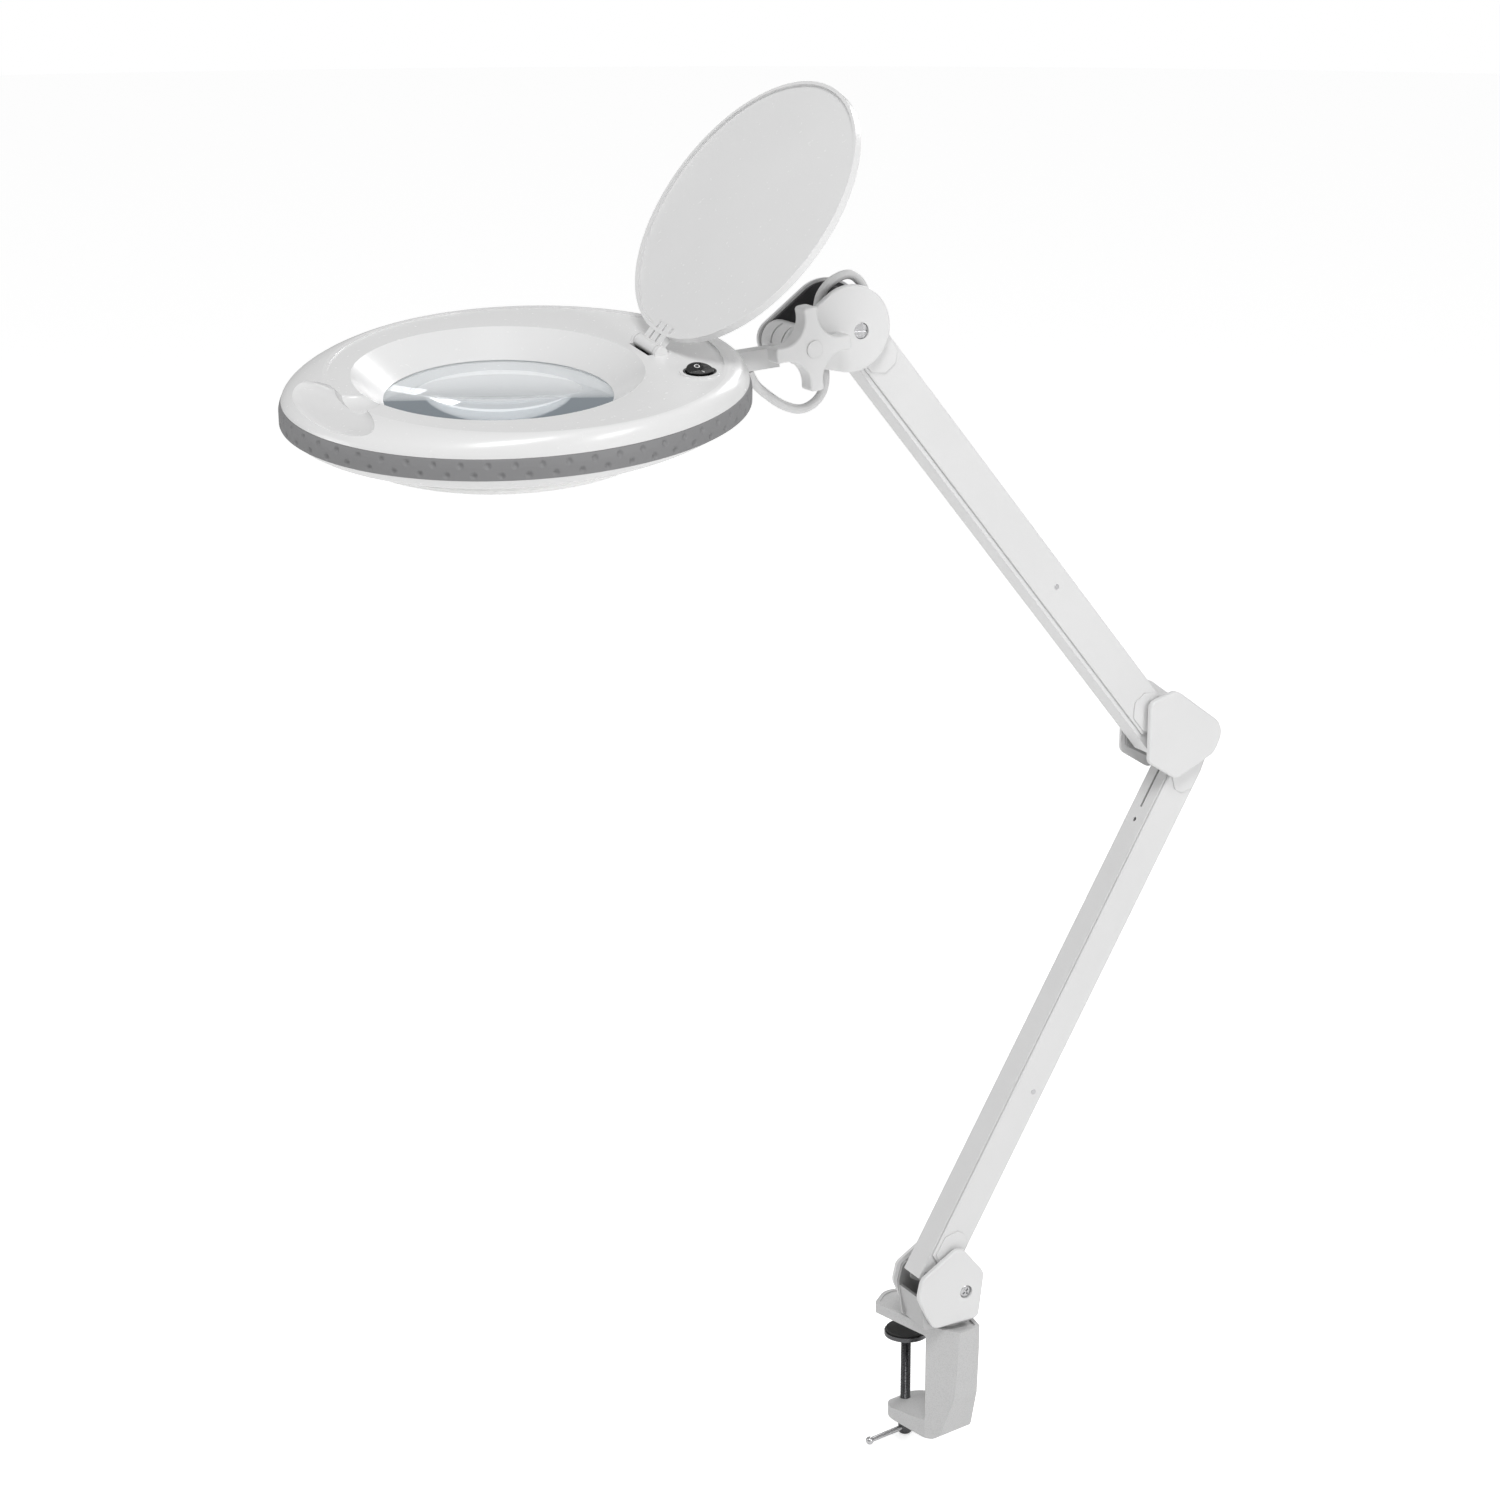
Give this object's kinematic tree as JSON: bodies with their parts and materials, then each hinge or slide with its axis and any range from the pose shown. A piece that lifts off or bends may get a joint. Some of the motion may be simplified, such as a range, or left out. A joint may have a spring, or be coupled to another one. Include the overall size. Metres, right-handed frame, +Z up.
{
  "type": "magnifying lamp",
  "caption": "Ring-lit magnifying lamp: round lens head with hinged lid on a two-part parallelogram spring arm with a table clamp.",
  "frame": {"origin": "underside of the clamp's top jaw, on the clamp screw's axis", "axes": "+Z up along the clamp screw, arms in a plane parallel to X-Z with the head towards -X, the clamp's mouth 13 degrees from +Y towards -X"},
  "size_m": [0.5464, 0.2084, 0.7922],
  "materials": {
    "clamp_paint": "light grey fine texture powder coat",
    "arm_paint": "white satin powder coat",
    "white_plastic": "white satin moulded plastic",
    "shell_plastic": "white moulded plastic, soft gloss",
    "band_rubber": "mid grey soft rubber",
    "diffuser": "frosted translucent plastic",
    "lens_glass": "clear ground glass",
    "switch_black": "black gloss",
    "dark_steel": "blackened steel",
    "bright_steel": "zinc plated steel",
    "bracket_steel": "grey satin steel",
    "bracket_dark": "dark interior paint",
    "black_rubber": "black rubber",
    "inner_plastic": "natural nylon",
    "circuit_board": "white solder mask",
    "led_phosphor": "yellow phosphor",
    "cable_sheath": "white flexible sheath"
  },
  "bodies": {
    "clamp": {"clamp_frame": "clamp_paint", "pivot_post": "bright_steel", "swivel_washer": "inner_plastic"},
    "clamp_pad": {"pad_disc": "dark_steel", "pad_rubber": "black_rubber"},
    "clamp_screw": {"clamp_screw": "dark_steel"},
    "tommy_bar": {"tommy_bar": "bright_steel"},
    "base_bracket": {"base_bracket": "bracket_steel", "base_cover_near": "white_plastic", "base_cover_far": "white_plastic", "base_pins": "bright_steel", "base_cover_screws": "bright_steel", "inlet_strap": "bracket_steel", "cable_grommet": "inner_plastic"},
    "lower_arm": {"lower_channel": "arm_paint", "lower_end_fittings": "white_plastic", "lower_springs": "bright_steel", "lower_spring_anchor": "bright_steel"},
    "lower_link": {"lower_link": "arm_paint"},
    "elbow": {"elbow_bracket": "bracket_steel", "elbow_cover_near": "white_plastic", "elbow_cover_far": "white_plastic", "elbow_pins": "bright_steel"},
    "upper_arm": {"upper_channel": "arm_paint", "upper_end_fittings": "white_plastic", "upper_springs": "bright_steel", "upper_spring_anchor": "bright_steel"},
    "upper_link": {"upper_link": "arm_paint"},
    "head_bracket": {"head_bracket": "bracket_dark", "head_cover_near": "white_plastic", "head_cover_far": "white_plastic", "head_pins": "bright_steel", "head_cover_screws": "bright_steel", "friction_washers": "bright_steel", "knob_bolt": "bright_steel", "arm_cable": "cable_sheath", "lamp_cable": "cable_sheath"},
    "knob": {"star_knob": "white_plastic", "knob_cap": "white_plastic"},
    "neck": {"neck_knuckle": "arm_paint", "neck_clip": "bright_steel"},
    "head": {"upper_shell": "shell_plastic", "lower_shell": "shell_plastic", "rim_band": "band_rubber", "lens": "lens_glass", "lens_retainer": "inner_plastic", "led_board": "circuit_board", "leds": "led_phosphor", "diffuser_ring": "diffuser", "driver_board": "circuit_board", "neck_socket": "bright_steel", "switch_housing": "switch_black", "lid_hinge_pin": "bright_steel"},
    "rocker": {"rocker": "switch_black"},
    "lid": {"lid": "shell_plastic"}
  },
  "joints": [
    {"name": "base_swivel", "type": "hinge", "parent": "clamp", "child": "base_bracket", "pos_m": [0.00739, -0.032, 0.0065], "axis": [0, 0, 1], "range_deg": [-170, 170]},
    {"name": "lower_arm_tilt", "type": "hinge", "parent": "base_bracket", "child": "lower_arm", "pos_m": [-0.0047, -0.032, 0.0372], "axis": [0, 1, 0], "range_deg": [-25, 25], "deforming": ["lower_springs"]},
    {"name": "lower_link_tilt", "type": "hinge", "parent": "base_bracket", "child": "lower_link", "pos_m": [-0.01078, -0.032, 0.04067], "axis": [0, 1, 0], "range_deg": [-25, 25]},
    {"name": "elbow_level", "type": "hinge", "parent": "lower_arm", "child": "elbow", "pos_m": [0.16376, -0.032, 0.33254], "axis": [0, 1, 0], "range_deg": [-25, 25]},
    {"name": "upper_arm_tilt", "type": "hinge", "parent": "elbow", "child": "upper_arm", "pos_m": [0.13851, -0.032, 0.33951], "axis": [0, 1, 0], "range_deg": [-40, 30], "deforming": ["upper_springs"]},
    {"name": "upper_link_tilt", "type": "hinge", "parent": "elbow", "child": "upper_link", "pos_m": [0.13231, -0.032, 0.33445], "axis": [0, 1, 0], "range_deg": [-40, 30]},
    {"name": "head_level", "type": "hinge", "parent": "upper_arm", "child": "head_bracket", "pos_m": [-0.06248, -0.032, 0.58594], "axis": [0, 1, 0], "range_deg": [-30, 40], "deforming": ["arm_cable"]},
    {"name": "knob_turn", "type": "hinge", "parent": "head_bracket", "child": "knob", "pos_m": [-0.09728, -0.032, 0.58091], "axis": [0, 1, 0], "range_deg": [-180, 180]},
    {"name": "head_tilt", "type": "hinge", "parent": "head_bracket", "child": "neck", "pos_m": [-0.09728, -0.032, 0.58091], "axis": [0, 1, 0], "range_deg": [-60, 50], "deforming": ["lamp_cable"]},
    {"name": "head_roll", "type": "hinge", "parent": "neck", "child": "head", "pos_m": [-0.09686, -0.032, 0.57452], "axis": [0.9978, 0, 0.0658], "range_deg": [-30, 30]},
    {"name": "rocker_press", "type": "hinge", "parent": "head", "child": "rocker", "pos_m": [-0.17295, -0.08041, 0.57644], "axis": [0.9978, 0, 0.0658], "range_deg": [-12, 0]},
    {"name": "lid_hinge", "type": "hinge", "parent": "head", "child": "lid", "pos_m": [-0.17853, -0.0342, 0.58502], "axis": [-0.009, 0.9905, 0.137], "range_deg": [-130, 8]},
    {"name": "pad_travel", "type": "slide", "parent": "clamp", "child": "clamp_pad", "axis": [0, 0, 1], "range_m": [-0.028, 0.005]},
    {"name": "screw_turn", "type": "hinge", "parent": "clamp_pad", "child": "clamp_screw", "pos_m": [0, 0, -0.07], "axis": [0, 0, 1], "range_deg": [-10150, 1830]},
    {"name": "tommy_slide", "type": "slide", "parent": "clamp_screw", "child": "tommy_bar", "axis": [-0.9703, -0.2419, 0], "range_m": [-0.0195, 0.0065]}
  ],
  "couplings": [
    {"joint": "lower_link_tilt", "follows": "lower_arm_tilt", "ratio": 1},
    {"joint": "elbow_level", "follows": "lower_arm_tilt", "ratio": -1},
    {"joint": "upper_link_tilt", "follows": "upper_arm_tilt", "ratio": 1},
    {"joint": "head_level", "follows": "upper_arm_tilt", "ratio": -1},
    {"joint": "screw_turn", "follows": "pad_travel", "rad_per_m": 6283.2}
  ]
}
